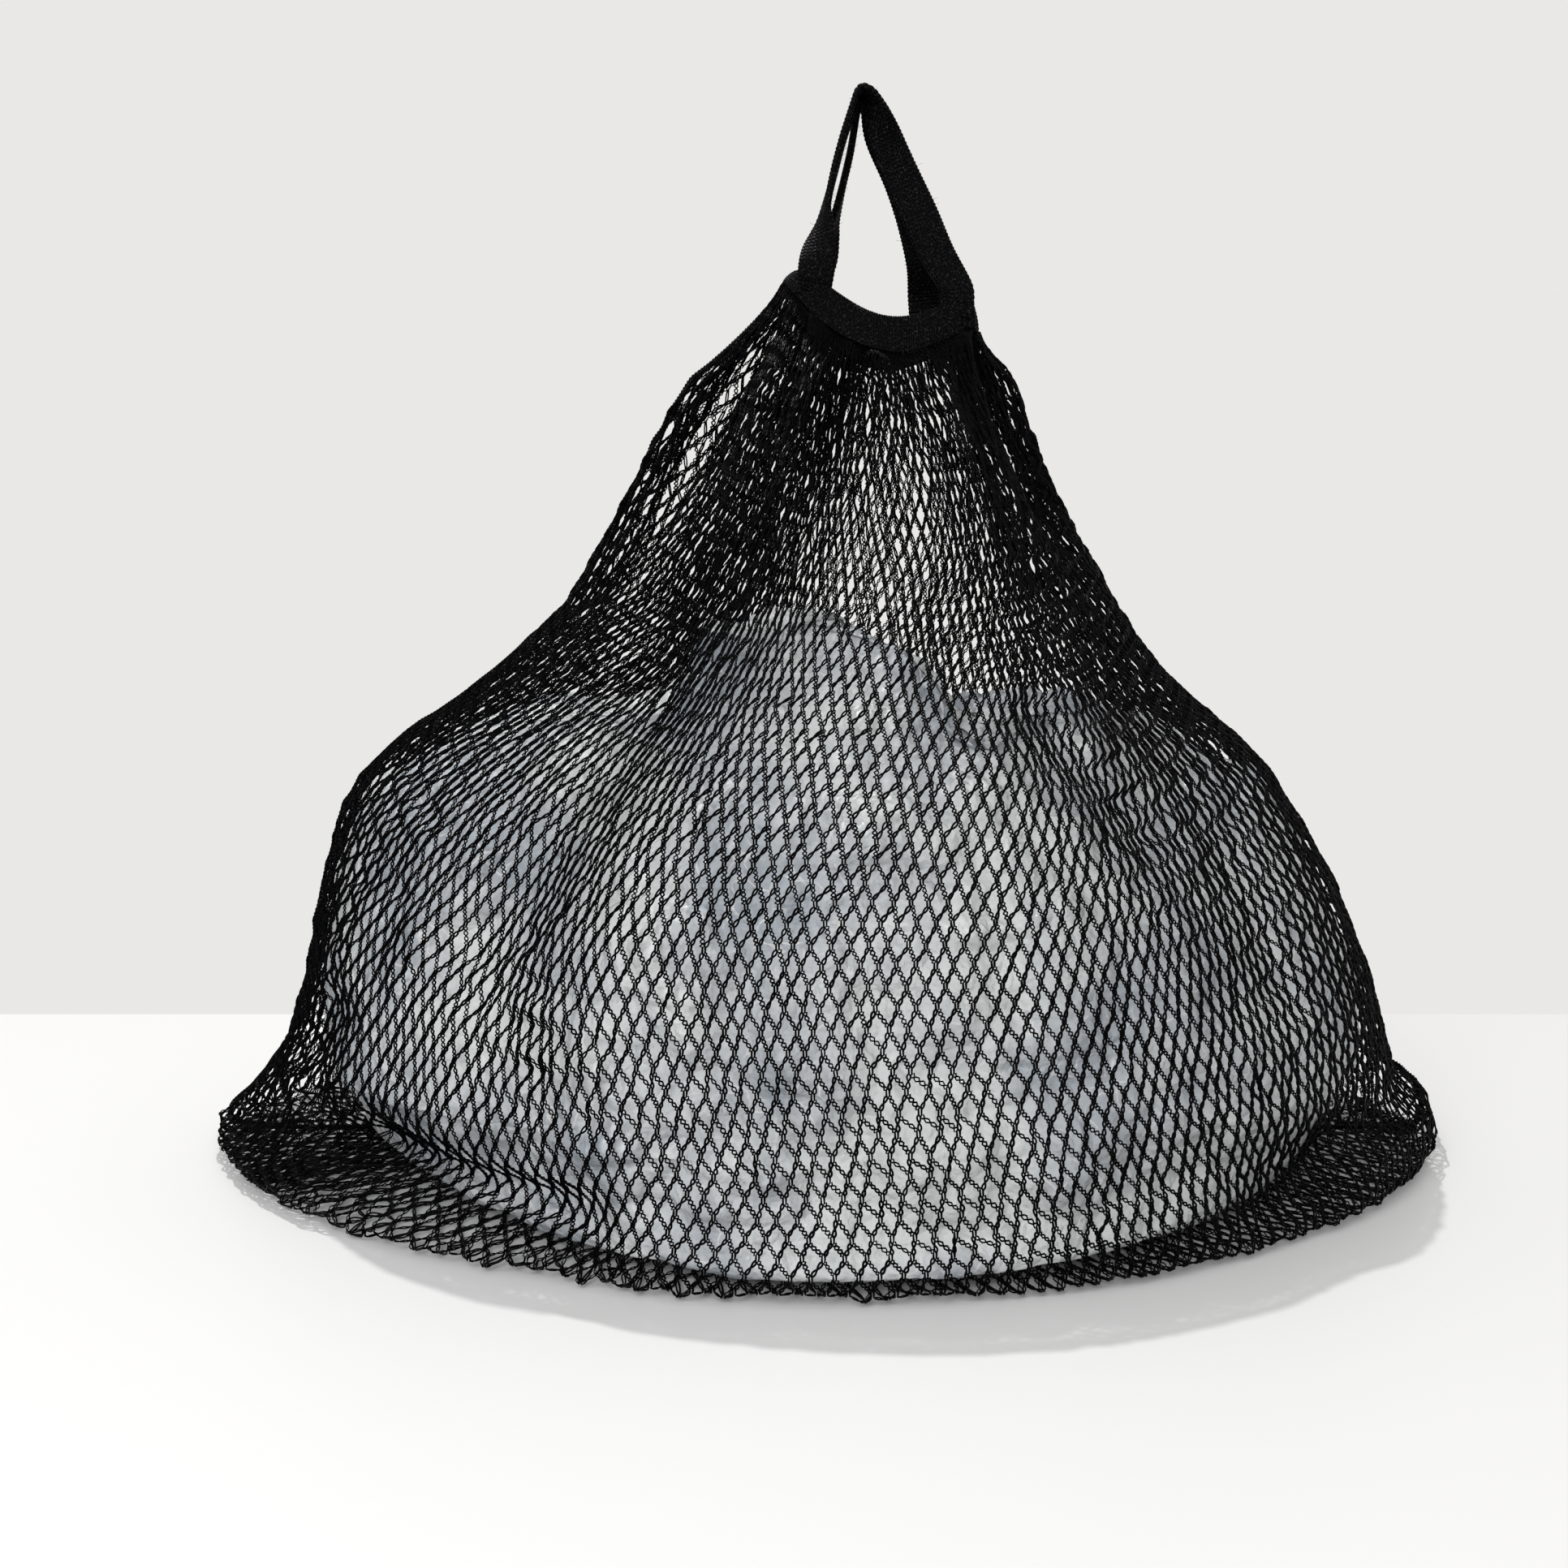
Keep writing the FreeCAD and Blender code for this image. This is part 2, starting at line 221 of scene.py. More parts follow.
# ---- meshes ----
def new_mesh(name, points_mm, faces, smooth=True):
    """Object from an array of points in millimetres and an array of faces."""
    points = np.asarray(points_mm, dtype=np.float64).reshape(-1, 3) * MM
    faces = np.asarray(faces, dtype=np.int32)
    corners = faces.shape[1]
    mesh = bpy.data.meshes.new(name)
    mesh.vertices.add(len(points))
    mesh.vertices.foreach_set("co", points.astype(np.float32).ravel())
    mesh.loops.add(faces.size)
    mesh.loops.foreach_set("vertex_index", faces.ravel())
    mesh.polygons.add(len(faces))
    mesh.polygons.foreach_set("loop_start", np.arange(0, faces.size, corners, dtype=np.int32))
    mesh.polygons.foreach_set("use_smooth", np.full(len(faces), smooth))
    mesh.update(calc_edges=True)
    mesh.validate()
    piece = bpy.data.objects.new(name, mesh)
    bpy.context.collection.objects.link(piece)
    return piece


def unit(vectors):
    return vectors / (np.linalg.norm(vectors, axis=-1, keepdims=True) + 1e-12)


def lengths_along(line):
    """Distance of each point of a line from its start, measured along it."""
    steps = np.linalg.norm(np.diff(line, axis=0), axis=1)
    return np.concatenate([[0.0], np.cumsum(steps)])


def resample(line, along, at):
    """Columns of a line, known at the distances along, read off at the distances at."""
    return np.stack([np.interp(at, along, line[:, column]) for column in range(line.shape[1])], -1)


def tube_arrays(paths, radius, sides):
    """Points and quads of open tubes along many paths of one length, shape (count, steps, 3)."""
    count, steps, _ = paths.shape
    tangent = unit(np.gradient(paths, axis=1))
    helper = np.zeros_like(tangent)
    helper[..., 1] = 1.0
    flat = np.abs(tangent[..., 1]) > 0.9
    helper[flat] = (1.0, 0.0, 0.0)
    side = unit(np.cross(tangent, helper))
    up = np.cross(side, tangent)
    turn = 2.0 * np.pi * np.arange(sides) / sides
    radius = np.broadcast_to(np.asarray(radius, dtype=float), (count, steps))
    ring = (side[:, :, None, :] * np.cos(turn)[None, None, :, None]
            + up[:, :, None, :] * np.sin(turn)[None, None, :, None])
    points = paths[:, :, None, :] + ring * radius[:, :, None, None]
    points[..., 2] = np.maximum(points[..., 2], GROUND_Z)
    return points.reshape(-1, 3), ring_quads(count, steps, sides)


def ring_quads(count, steps, sides):
    """Quads between neighbouring rings of points, for count tubes of steps rings each."""
    index = np.arange(count * steps * sides).reshape(count, steps, sides)
    low, high = index[:, :-1], index[:, 1:]
    quads = np.stack([low, np.roll(low, -1, axis=2), np.roll(high, -1, axis=2), high], axis=-1)
    return quads.reshape(-1, 4)


# ---- shape of the filled bag ----
def oval(angle, centre_x, half_width, half_depth, pointed):
    """X and Y on an oval: an ellipse where pointed is 1, and fuller at its ends below 1."""
    sin = np.sin(angle)
    return centre_x + half_width * np.cos(angle), half_depth * np.sign(sin) * np.abs(sin) ** pointed


def level(height):
    """Left edge, right edge, half depth, slope and pointedness of the filled bag at a height."""
    return [np.interp(height, LEVELS[:, 0], LEVELS[:, column]) for column in range(1, 6)]


def near_route(x, z, route, width):
    """1 on a route drawn in the front view, fading to 0 beside it."""
    distance = np.full(np.shape(x), 1e9)
    for (x0, z0), (x1, z1) in zip(route, route[1:]):
        run_x, run_z = x1 - x0, z1 - z0
        share = ((x - x0) * run_x + (z - z0) * run_z) / (run_x ** 2 + run_z ** 2)
        share = np.clip(share, 0.0, 1.0)
        distance = np.minimum(distance, np.hypot(x - x0 - share * run_x, z - z0 - share * run_z))
    return np.exp(-(distance / width) ** 2)


def front_share(y):
    """1 in front of the bag's middle plane and 0 behind it, changing over about 24 mm."""
    return 1.0 / (1.0 + np.exp(y / 12.0))


def swell(x, y, z):
    """How far the filling pushes the surface out, or a crease draws it in."""
    out = np.zeros(np.shape(x))
    front = front_share(y)
    sides = ((FRONT_CREASES, FRONT_LUMPS, front), (BACK_CREASES, BACK_LUMPS, 1 - front))
    for creases, lumps, share in sides:
        for route, width, depth in creases:
            out -= depth * near_route(x, z, route, width) * share
        for centre_x, centre_z, radius, height in lumps:
            out += height * np.exp(-((x - centre_x) ** 2 + (z - centre_z) ** 2) / radius ** 2) * share
    return out * np.clip(z / 25.0, 0.0, 1.0)


def pleat_wave(angle, height):
    """Sum of the pleats' waves round the bag."""
    wave = 0.0
    for size, count, twist, phase in PLEATS:
        wave = wave + size * np.cos(count * angle + twist * height + phase)
    return wave


def outline_scale(points, inset=0.0, pleated=True):
    """Centre X of each point's level, and how much its radius must grow to reach the surface."""
    x, y, z = points[..., 0], points[..., 1], points[..., 2]
    height = z
    for _ in range(2):
        left, right, depth, slope, pointed = level(height)
        height = z - slope * (x - (left + right) / 2)
    left, right, depth, slope, pointed = level(height)
    centre = (left + right) / 2
    angle = np.arctan2(y / depth, (x - centre) / ((right - left) / 2))
    offset = swell(x, y, z) - inset
    if pleated:
        gathered = np.clip((height - PLEATS_START_Z) / (PLEATS_FULL_Z - PLEATS_START_Z), 0.0, 1.0)
        offset = offset + PLEAT_DEPTH * gathered * pleat_wave(angle, height)
    u = (x - centre) / ((right - left) / 2 + offset)
    v = y / (depth + offset)
    scale = np.ones(np.shape(x))
    for _ in range(3):
        reach = (u * scale) ** 2 + np.abs(v * scale) ** (2 / pointed)
        scale = scale / np.sqrt(np.maximum(reach, 1e-6))
    return centre, scale


def onto_surface(points, pull_in=1.0):
    """Points pushed out of the filling, and drawn towards it by pull_in."""
    centre, scale = outline_scale(points)
    z = points[..., 2]
    pull = np.where(scale > 1, 1.0, pull_in) * np.clip((300.0 - z) / 40.0, 0.0, 1.0)
    factor = 1 + (scale - 1) * pull
    moved = (z > 2.0) | (scale < 1)
    out = points.copy()
    out[..., 0] = np.where(moved, centre + (points[..., 0] - centre) * factor, points[..., 0])
    out[..., 1] = np.where(moved, points[..., 1] * factor, points[..., 1])
    out[..., 2] = np.maximum(z, FLOOR_Z)
    return out


# ---- mouth ----
def rim_point(angle):
    """The mouth's upper edge: a tilted oval that sags at the front and back."""
    x, y = oval(angle, RIM_CENTRE_X, RIM_HALF_WIDTH, RIM_HALF_DEPTH, RIM_POINTED)
    z = RIM_Z - RIM_TILT * np.cos(angle) - RIM_SAG * np.abs(np.sin(angle)) ** 3.5
    return np.stack([x, y, z], -1)


def band_foot(angle):
    """The band's lower edge, where the net is knitted on; the band splays out at the left."""
    cos, sin = np.cos(angle), np.sin(angle)
    left = np.clip(-cos, 0.0, 1.0) ** 2
    right = np.clip(cos, 0.0, 1.0) ** 2
    fall = 4.0 * left + 11.5 * right + 14.0 * sin ** 2 + 18.0 * left * sin ** 2
    drop = np.stack([2.5 * right - 5.0 * left, 4.0 * sin, -fall], -1)
    return rim_point(angle) + drop


# ---- net layout ----
def half_ring_angles(front, steps=361):
    """Angles round the front half from left to right, or the back half from right to left."""
    start = np.pi if front else 0.0
    return start + np.linspace(0.0, np.pi, steps)


def crowding(points):
    """How closely the wales stand at the points of a half ring: 1 is an even layout."""
    x, y, z = points[:, 0], points[:, 1], points[:, 2]
    out = np.ones(len(x))
    for zones, mask in ((FRONT_DENSE, y < 0), (BACK_DENSE, y >= 0)):
        for route, width, amount in zones:
            out += amount * near_route(x, z, route, width) * mask
    from_start = np.linalg.norm(points - points[0], axis=1)
    from_end = np.linalg.norm(points - points[-1], axis=1)
    to_side = np.minimum(from_start, from_end)
    out -= SIDE_SPREAD * np.exp(-(to_side / SIDE_REACH) ** 2) * (z < CONE_Z)
    return np.maximum(out, LEAST_WEIGHT)


def spread_along(points, count):
    """count points along a half ring, closer together where the wales crowd."""
    weight = crowding(points)
    steps = np.linalg.norm(np.diff(points, axis=0), axis=1) * (weight[1:] + weight[:-1]) / 2
    along = np.concatenate([[0.0], np.cumsum(steps)])
    return resample(points, along, np.linspace(0.0, along[-1], count))


def level_half(height, front):
    """Front or back half of the filled bag's outline at one height."""
    angle = half_ring_angles(front)
    left, right, depth, slope, pointed = [float(value) for value in level(height)]
    centre = (left + right) / 2
    x, y = oval(angle, centre, (right - left) / 2, depth, pointed)
    points = np.stack([x, y, height + slope * (x - centre)], -1)
    if height > 2.5:
        points = onto_surface(points)
    return points


def mouth_half(front):
    """Front or back half of the line where the net hangs from the band, slightly pleated."""
    angle = half_ring_angles(front)
    outward = np.stack([np.cos(angle), np.sin(angle), 0 * angle], -1)
    return band_foot(angle) + outward * (1.1 * pleat_wave(angle, 0.0))[:, None]


def whole_ring(half):
    """One point per half column round the bag, from a function that gives each half's outline."""
    return np.concatenate([spread_along(half(front), WALES + 1)[:-1] for front in (True, False)])


def meridians():
    """One line per half column of the net, from the mouth down and under to the bottom seam."""
    first_z, last_z = 284.0, 7.0
    lines = []
    top = whole_ring(mouth_half)
    first = whole_ring(lambda front: level_half(first_z, front))
    for share in np.linspace(0.0, 1.0, 20)[:-1]:
        lines.append(top * (1 - share) + first * share)
    for height in np.linspace(first_z, last_z, 140):
        lines.append(whole_ring(lambda front: level_half(height, front)))
    edge = whole_ring(lambda front: level_half(0.0, front))
    seam_x = np.linspace(edge[0, 0], edge[WALES, 0], WALES + 1)
    seam_x = np.concatenate([seam_x[:-1], seam_x[::-1][:-1]])
    for share in np.linspace(0.0, 1.0, 80)[1:]:
        x = edge[:, 0] * (1 - share) + seam_x * share
        lines.append(np.stack([x, edge[:, 1] * (1 - share), np.full(len(x), FLOOR_Z)], -1))
    return np.stack(lines)


def net_nodes(steps):
    """Nodes of the net, (ROWS + 1, WALES, 3), after it has settled on the filling."""
    lines = meridians()
    runs = np.linalg.norm(np.diff(lines, axis=0), axis=2)
    along = np.concatenate([np.zeros((1, 2 * WALES)), np.cumsum(runs, axis=0)])
    nodes = np.zeros((ROWS + 1, WALES, 3))
    for row in range(ROWS + 1):
        for place in range(WALES):
            column = 2 * place + row % 2
            at = along[-1, column] * row / ROWS
            nodes[row, place] = resample(lines[:, column], along[:, column], at)
    mouth_row, seam_row = nodes[0].copy(), nodes[ROWS].copy()
    to_right = np.linalg.norm(np.roll(nodes, -1, axis=1) - nodes, axis=2)[..., None]
    to_left = np.roll(to_right, 1, axis=1)
    even_rows, odd_rows = np.arange(0, ROWS, 2), np.arange(1, ROWS, 2)
    for _ in range(steps):
        for rows, shift in ((even_rows, 0), (even_rows, 1), (odd_rows, 0), (odd_rows, -1)):
            keep_leg_length(nodes, rows, shift)
        keep_apart_in_rows(nodes)
        even = np.roll(nodes, 1, axis=1) * to_right + np.roll(nodes, -1, axis=1) * to_left
        nodes[1:ROWS] += EVEN_OUT * (even / (to_right + to_left) - nodes)[1:ROWS]
        nodes[2:ROWS - 1] += STRAIGHTEN * ((nodes[:ROWS - 3] + nodes[4:]) / 2 - nodes[2:ROWS - 1])
        nodes[1:ROWS, :, 2] -= SAG_STEP
        nodes[1:ROWS] = onto_surface(nodes[1:ROWS], DRAW_IN)
        nodes[0], nodes[ROWS] = mouth_row, seam_row
    stray = np.random.default_rng(5).normal(0.0, NODE_STRAY, nodes[1:ROWS].shape)
    nodes[1:ROWS] += stray * np.array([1.0, 1.0, 0.8])
    nodes[..., 2] = np.maximum(nodes[..., 2], FLOOR_Z)
    return nodes


def keep_leg_length(nodes, rows, shift):
    """Moves both ends of the legs below the given rows, so that none stretches or goes very slack."""
    upper = nodes[rows]
    lower = np.roll(nodes[rows + 1], shift, axis=1)
    leg = lower - upper
    length = np.linalg.norm(leg, axis=2, keepdims=True) + 1e-9
    slack = SLACK_GIVE * (length - SLACK_LEG)
    error = np.where(length > LEG, length - LEG, np.where(length < SLACK_LEG, slack, 0.0))
    shift_by = 0.5 * error * leg / length
    nodes[rows] += shift_by
    nodes[rows + 1] = np.roll(lower - shift_by, -shift, axis=1)


def keep_apart_in_rows(nodes):
    """Pushes neighbouring nodes of a row apart: the least gap is small in the gathered cone."""
    for parity in (0, 1):
        place = np.arange(parity, WALES, 2)
        beside = (place + 1) % WALES
        gap = nodes[:, beside] - nodes[:, place]
        length = np.linalg.norm(gap, axis=2, keepdims=True) + 1e-9
        least = np.where(nodes[:, place, 2:] > CONE_Z, CONE_GAP, BELLY_GAP)
        push = APART_SHARE * np.minimum(length - least, 0.0) * gap / length
        nodes[:, place] += push
        nodes[:, beside] -= push


# ---- net yarn ----
def node_frames(nodes):
    """Across and along directions of the net at each node."""
    across = unit(np.roll(nodes, -1, axis=1) - np.roll(nodes, 1, axis=1))
    along = np.zeros_like(nodes)
    along[1:-1] = nodes[2:] - nodes[:-2]
    along[0] = nodes[1] - nodes[0]
    along[-1] = nodes[-1] - nodes[-2]
    along = unit(along - across * np.sum(along * across, axis=-1, keepdims=True))
    return across, along


def stitch_opening(nodes):
    """1 where the net is spread, less where its wales crowd and pull their stitches closed."""
    gap = np.linalg.norm(np.roll(nodes, -1, axis=1) - nodes, axis=2)
    gap = (gap + np.roll(gap, 1, axis=1)) / 2
    return np.clip(gap / OPEN_GAP, LEAST_OPEN, 1.0)


def wale_path(nodes, across, along, open_share, wale, rows):
    """One zigzag wale: the points above and below its nodes, the net's normals and its opening."""
    row = np.arange(rows[0], rows[1] + 1)
    column = wale + (wale + row) % 2
    side = np.where(column == wale, 1.0, -1.0)[:, None]
    place = ((column - row % 2) // 2) % WALES
    share = open_share[row, place]
    middle = nodes[row, place] + KNOT_SIDE * side * across[row, place] * share[:, None]
    step = KNOT_HALF * along[row, place]
    normal = unit(np.cross(across[row, place], along[row, place]))
    return middle - step, middle + step, normal, share


def chain_threads(nodes, across, along, wales, rows, leg_steps, loops):
    """Thread paths and radii of the wales' chains: two threads to a wale, joined by cubic legs."""
    share = np.linspace(0.0, 1.0, leg_steps + 1)
    rise = (3 * share ** 2 - 2 * share ** 3)[None, :, None]
    leave = (share ** 3 - 2 * share ** 2 + share)[None, :, None]
    arrive = (share ** 3 - share ** 2)[None, :, None]
    uneven = np.random.default_rng(11 + int(wales[0]) + 7 * rows[0])
    open_share = stitch_opening(nodes)
    paths, radii = [], []
    for wale in wales:
        above, below, normal, opened = wale_path(nodes, across, along, open_share, wale, rows)
        opened = (opened[:-1] + opened[1:]) / 2
        start, end = below[:-1], above[1:]
        heading = (below - above) / (2 * KNOT_HALF)
        leans_right = (wale + np.arange(rows[0], rows[1])) % 2 == 0
        run = end - start
        reach = np.linalg.norm(run, axis=1, keepdims=True) * LEG_CURVE
        surface = unit(normal[:-1] + normal[1:])
        beside = unit(np.cross(surface, run))
        line = start[:, None] + run[:, None] * rise
        line = line + (heading[:-1] * reach)[:, None] * leave + (heading[1:] * reach)[:, None] * arrive
        count = np.where(leans_right, loops, max(loops - 2, 1))
        spread = STITCH_SPREAD * opened * np.where(leans_right, 1.0, SINGLE_SPREAD)
        spread = spread * uneven.uniform(0.8, 1.2, len(run))
        turn = np.pi * share[None, :] * count[:, None]
        thick = np.where(leans_right, 1.0, SINGLE_THICK) * uneven.uniform(0.9, 1.15, len(run))
        thick = thick * (TIGHT_THREAD + (1.0 - TIGHT_THREAD) * opened)
        thick = thick * (BASE_THREAD if rows[0] else 1.0)
        for sign in (1.0, -1.0):
            offset = sign * spread[:, None] * np.sin(turn)
            raised = STITCH_RAISE * sign * np.cos(turn)
            thread = line + beside[:, None] * offset[..., None] + surface[:, None] * raised[..., None]
            paths.append(np.concatenate([above[:1], thread.reshape(-1, 3), below[-1:]]))
            widths = THREAD_RADIUS * np.repeat(thick, leg_steps + 1)
            radii.append(np.concatenate([widths[:1], widths, widths[-1:]]))
    return np.stack(paths), np.stack(radii)


def make_net(nodes):
    """Net pieces: front and back walls in chain stitch, and the base under them."""
    across, along = node_frames(nodes)
    front = np.arange(0, WALES)
    back = np.arange(WALES, 2 * WALES)
    # Name, wales, first and last row, steps to a leg, loops to a leg, and pieces made.
    jobs = [
        ("front_net", front, (0, EDGE_ROW), 10, 4, 8),
        ("back_net", back, (0, EDGE_ROW), 6, 3, 5),
        ("front_base_net", front, (EDGE_ROW, ROWS), 5, 2, 2),
        ("back_base_net", back, (EDGE_ROW, ROWS), 5, 2, 2),
    ]
    for name, wales, rows, leg_steps, loops, parts in jobs:
        for number, group in enumerate(np.array_split(wales, parts)):
            paths, radii = chain_threads(nodes, across, along, group, rows, leg_steps, loops)
            points, faces = tube_arrays(paths, radii, 3)
            piece = new_mesh("%s_%d" % (name, number + 1), points, faces)
            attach(piece, BAG)
            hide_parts("front_net_panel" if name.startswith("front") else "back_net_panel")
            piece.data.materials.append(NET_YARN)


def rope(name, line, radius, strands, pitch, strand_radius):
    """Plied rope along a line given as points, which it follows smoothly."""
    step_length = 0.7
    along = lengths_along(line)
    count = max(int(along[-1] / step_length), 8)
    at = np.linspace(0.0, along[-1], count)
    centre = resample(line, along, at)
    kernel = np.array([0.25, 0.5, 0.25])
    for _ in range(6):
        padded = np.concatenate([centre[:1], centre, centre[-1:]])
        centre = sum(kernel[k] * padded[k:k + count] for k in range(3))
    tangent = unit(np.gradient(centre, axis=0))
    side = unit(np.cross(tangent, (0.0, 1.0, 0.0)))
    up = np.cross(side, tangent)
    paths = []
    for strand in range(strands):
        turn = 2 * np.pi * (at / pitch + strand / strands)
        paths.append(centre + radius * (side * np.cos(turn)[:, None] + up * np.sin(turn)[:, None]))
    points, faces = tube_arrays(np.stack(paths), strand_radius, 5)
    return new_mesh(name, points, faces)


def make_seams(nodes):
    """Overlocked seams down both sides and under the bag."""
    left = (nodes[:, 0] + nodes[:, -1]) / 2
    left[::2] = nodes[::2, 0]
    half = WALES // 2
    right = (nodes[:, half] + nodes[:, half - 1]) / 2
    right[::2] = nodes[::2, half]
    bottom = nodes[ROWS, :half + 1]
    lines = {"left_side_seam": left, "right_side_seam": right, "bottom_seam": bottom}
    for name, line in lines.items():
        piece = rope(name + "_overlock", line, SEAM_RADIUS, 3, SEAM_PITCH, SEAM_STRAND_RADIUS)
        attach(piece, BAG)
        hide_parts(name)
        piece.data.materials.append(NET_YARN)


# ---- knitted tape ----
def knit_height(across_mm, along_mm):
    """Relief of plain knit: columns of V stitches, each leg a rounded grain."""
    column = across_mm / WALE_WIDTH
    within = column - np.floor(column)
    leg = np.where(within < 0.5, within, within - 0.5) / 0.5 - 0.5
    course = along_mm / COURSE_HEIGHT + 0.9 * np.abs(within - 0.5)
    stitch = course - np.floor(course) - 0.5
    grain = 1.0 - (leg / 0.52) ** 2 - (stitch / 0.56) ** 2
    return KNIT_DEPTH * (np.sqrt(np.maximum(grain, 0.0)) - 0.6)


def tape_section(width, thickness, steps):
    """Outline of a flat tape with round edges: places on it, offsets and normals.

    The offsets and the normals each have a part across the tape and one through it.
    """
    radius = thickness / 2
    half = width / 2 - radius
    flat = 2 * half
    arc = np.pi * thickness / 2
    at = np.linspace(0.0, 2 * (flat + arc), steps, endpoint=False)
    outline = []
    for place in at:
        if place < flat:
            outline.append((-half + place, -radius, 0.0, -1.0))
        elif place < flat + arc:
            turn = -np.pi / 2 + np.pi * (place - flat) / arc
            cos, sin = np.cos(turn), np.sin(turn)
            outline.append((half + radius * cos, radius * sin, cos, sin))
        elif place < 2 * flat + arc:
            outline.append((half - (place - flat - arc), radius, 0.0, 1.0))
        else:
            turn = np.pi / 2 + np.pi * (place - 2 * flat - arc) / arc
            cos, sin = np.cos(turn), np.sin(turn)
            outline.append((-half + radius * cos, radius * sin, cos, sin))
    return (at, *np.array(outline).T)


def tape_points(centre, wide, thin, across, through):
    """Points of a tape's surface, row by row along its centre line."""
    return centre[:, None] + wide[:, None] * across[..., None] + thin[:, None] * through[..., None]


def smooth_rows(rows, count):
    """Rows of numbers resampled evenly along a uniform Catmull-Rom curve through them."""
    rows = np.asarray(rows, dtype=float)
    padded = np.concatenate([2 * rows[:1] - rows[1:2], rows, 2 * rows[-1:] - rows[-2:-1]])
    fine = []
    for span in range(len(rows) - 1):
        p0, p1, p2, p3 = padded[span:span + 4]
        for share in np.linspace(0.0, 1.0, 40, endpoint=False):
            fine.append(0.5 * (2 * p1 + (p2 - p0) * share + (2 * p0 - 5 * p1 + 4 * p2 - p3) * share ** 2
                               + (3 * p1 - p0 - 3 * p2 + p3) * share ** 3))
    fine.append(rows[-1])
    fine = np.array(fine)
    along = lengths_along(fine[:, :3])
    at = np.linspace(0.0, along[-1], count)
    return at, resample(fine, along, at)


def handle_rows(front):
    """Centre and width direction along one handle tape, from sewn end to sewn end."""
    sign = -1.0 if front else 1.0
    # The back handle's left leg stands this far to the right of the front one's.
    shift = 0.0 if front else 4.2
    along = (1.0, 0.0, HANDLE_SLOPE)
    edge_on = (0.0, sign, 0.0)
    lx, ly, lz = HINGE_LEFT
    rx, ry, rz = FRONT_HINGE_RIGHT if front else BACK_HINGE_RIGHT
    rows = [
        (lx - 1.6, 14.6, lz - 9.0, along),
        (lx - 0.9, 14.8, lz - 5.0, along),
        (lx - 0.2, 15.2, lz - 1.0, along),
        (lx + 0.3, ly - 0.8, lz + 4.0, (0.97, 0.2 * sign, -0.15)),
        (-2.9 + 0.5 * shift, 12.6, 342.0, (0.80, 0.6 * sign, -0.1)),
        (-1.8 + 0.8 * shift, 10.4, 348.5, (0.45, 0.85 * sign, 0.0)),
        (-0.7 + shift, 8.8, 355.0, (0.14, sign, 0.0)),
        (2.2 + shift, 8.0, 367.0, edge_on),
        (5.4 + 0.9 * shift, 7.6, 379.0, edge_on),
        (8.0 + 0.6 * shift, 7.4, 387.0, edge_on),
        (9.8 + 0.35 * shift, 7.4, APEX_Z - 5.2, edge_on),
        (11.2 + 0.2 * shift, 7.4, APEX_Z - 1.4, edge_on),
        (13.3, 7.3, APEX_Z, edge_on),
        (15.2, 7.2, APEX_Z - 1.6, (0.25, 0.95 * sign, 0.0)),
        (16.9, 6.9, APEX_Z - 5.4, (0.5, 0.85 * sign, 0.1)),
        (19.2, 6.2, 386.5, (0.75, 0.6 * sign, 0.28)),
        (22.9, 4.2, 379.0, (0.92, 0.12 * sign, 0.37)),
        (28.7, 3.4, 367.0, (0.92, 0.0, 0.39)),
    ]
    if front:
        rows += [(34.7, 5.0, 354.0, (0.91, 0.0, 0.40)), (41.0, 8.6, 339.0, (0.93, 0.0, 0.30))]
    else:
        rows += [(33.6, 5.0, 354.0, (0.95, 0.0, 0.30)), (37.4, 8.6, 339.0, (0.99, 0.0, 0.05))]
    # The right end is sewn on the rim's curve, beside the end of the hinge line.
    rx += -0.8 if front else 1.4
    ry += -0.6 if front else 2.4
    rows += [
        (rx - 0.8, ry - 1.2, rz + 6.0, along),
        (rx - 0.2, ry - 0.6, rz - 1.0, along),
        (rx + 0.2, ry - 0.6, rz - 5.0, along),
        (rx + 0.4, ry - 0.2, rz - 10.0, along),
    ]
    out = []
    for x, off, z, width in rows:
        width = np.array(width) / np.linalg.norm(width)
        out.append((x, sign * off, z, *width))
    return out


def stray_fibres(points, normals, count, seed):
    """Short loose fibres that stand off a knitted surface."""
    pick = np.random.default_rng(seed)
    at = pick.integers(0, len(points), count)
    away = unit(normals[at] + pick.normal(0.0, 0.5, (count, 3)))
    curl = unit(pick.normal(0.0, 1.0, (count, 3)))
    length = pick.uniform(0.6, 1.9, (count, 1, 1))
    share = np.linspace(0.0, 1.0, 6)[None, :, None]
    paths = points[at][:, None] + length * (away[:, None] * share + 0.5 * curl[:, None] * share ** 2)
    return tube_arrays(paths, FIBRE_RADIUS, 3)


